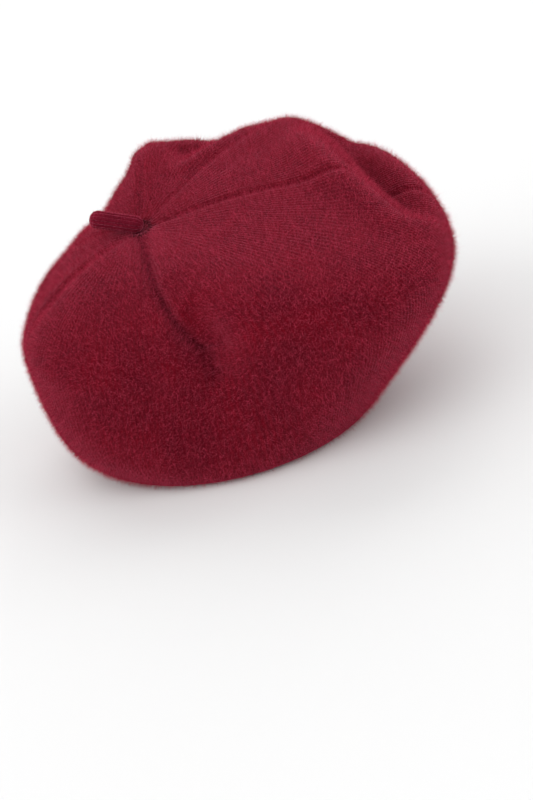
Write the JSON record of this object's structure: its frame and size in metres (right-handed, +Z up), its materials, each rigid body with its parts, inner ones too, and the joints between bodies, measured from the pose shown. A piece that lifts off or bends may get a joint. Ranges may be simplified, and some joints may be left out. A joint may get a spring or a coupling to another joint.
{
  "type": "knitted wool beret",
  "caption": "Soft round knitted beret with linked petal-shaped gores, a short stalk at the crown and a turned-in hem band, shaped as it sits on a head.",
  "frame": {"origin": "centre of the oval head opening, in the plane of the hem's lower edge, where the head enters", "axes": "+Z up through the crown along the wearer's head, +X towards the side that the loose crown is pulled over, +Y completing a right-handed frame"},
  "size_m": [0.25, 0.2268, 0.1441],
  "materials": {
    "brushed_wool": "brushed, fulled knit with a long soft nap",
    "stalk_wool": "tight knitted tube, lightly brushed",
    "linking_thread": "plied wool thread",
    "elastic_tape": "matt woven elastic",
    "label_tape": "satin woven tape, blank"
  },
  "bodies": {
    "crown": {"crown_gore_1": "brushed_wool", "crown_gore_2": "brushed_wool", "crown_gore_3": "brushed_wool", "crown_gore_4": "brushed_wool", "crown_gore_5": "brushed_wool", "crown_gore_6": "brushed_wool", "side_panel": "brushed_wool", "headband_facing": "brushed_wool", "headband_elastic": "elastic_tape", "hem_linking_thread": "linking_thread", "gore_seam_thread_1": "linking_thread", "gore_seam_thread_2": "linking_thread", "gore_seam_thread_3": "linking_thread", "gore_seam_thread_4": "linking_thread", "gore_seam_thread_5": "linking_thread", "gore_seam_thread_6": "linking_thread", "closing_seam_thread": "linking_thread", "stalk_root_stitches": "linking_thread", "tip_gathering_thread": "linking_thread", "yarn_tail_knot": "linking_thread", "maker_label": "label_tape", "label_stitch_left": "linking_thread", "label_stitch_right": "linking_thread"},
    "stalk_body": {"stalk": "stalk_wool"},
    "care_label_body": {"care_label": "label_tape"}
  },
  "joints": [
    {"name": "stalk_bend", "type": "hinge", "parent": "crown", "child": "stalk_body", "pos_m": [-0.026, 0.027, 0.1197], "axis": [0.3015, 0.9535, 0], "range_deg": [-10, 120], "stiffness_Nm_per_rad": 0.006},
    {"name": "care_label_flip", "type": "hinge", "parent": "crown", "child": "care_label_body", "pos_m": [-0.08907, 0.01586, 0.02881], "axis": [-0.227, -0.9736, -0.0246], "range_deg": [0, 110], "stiffness_Nm_per_rad": 0.00005}
  ]
}
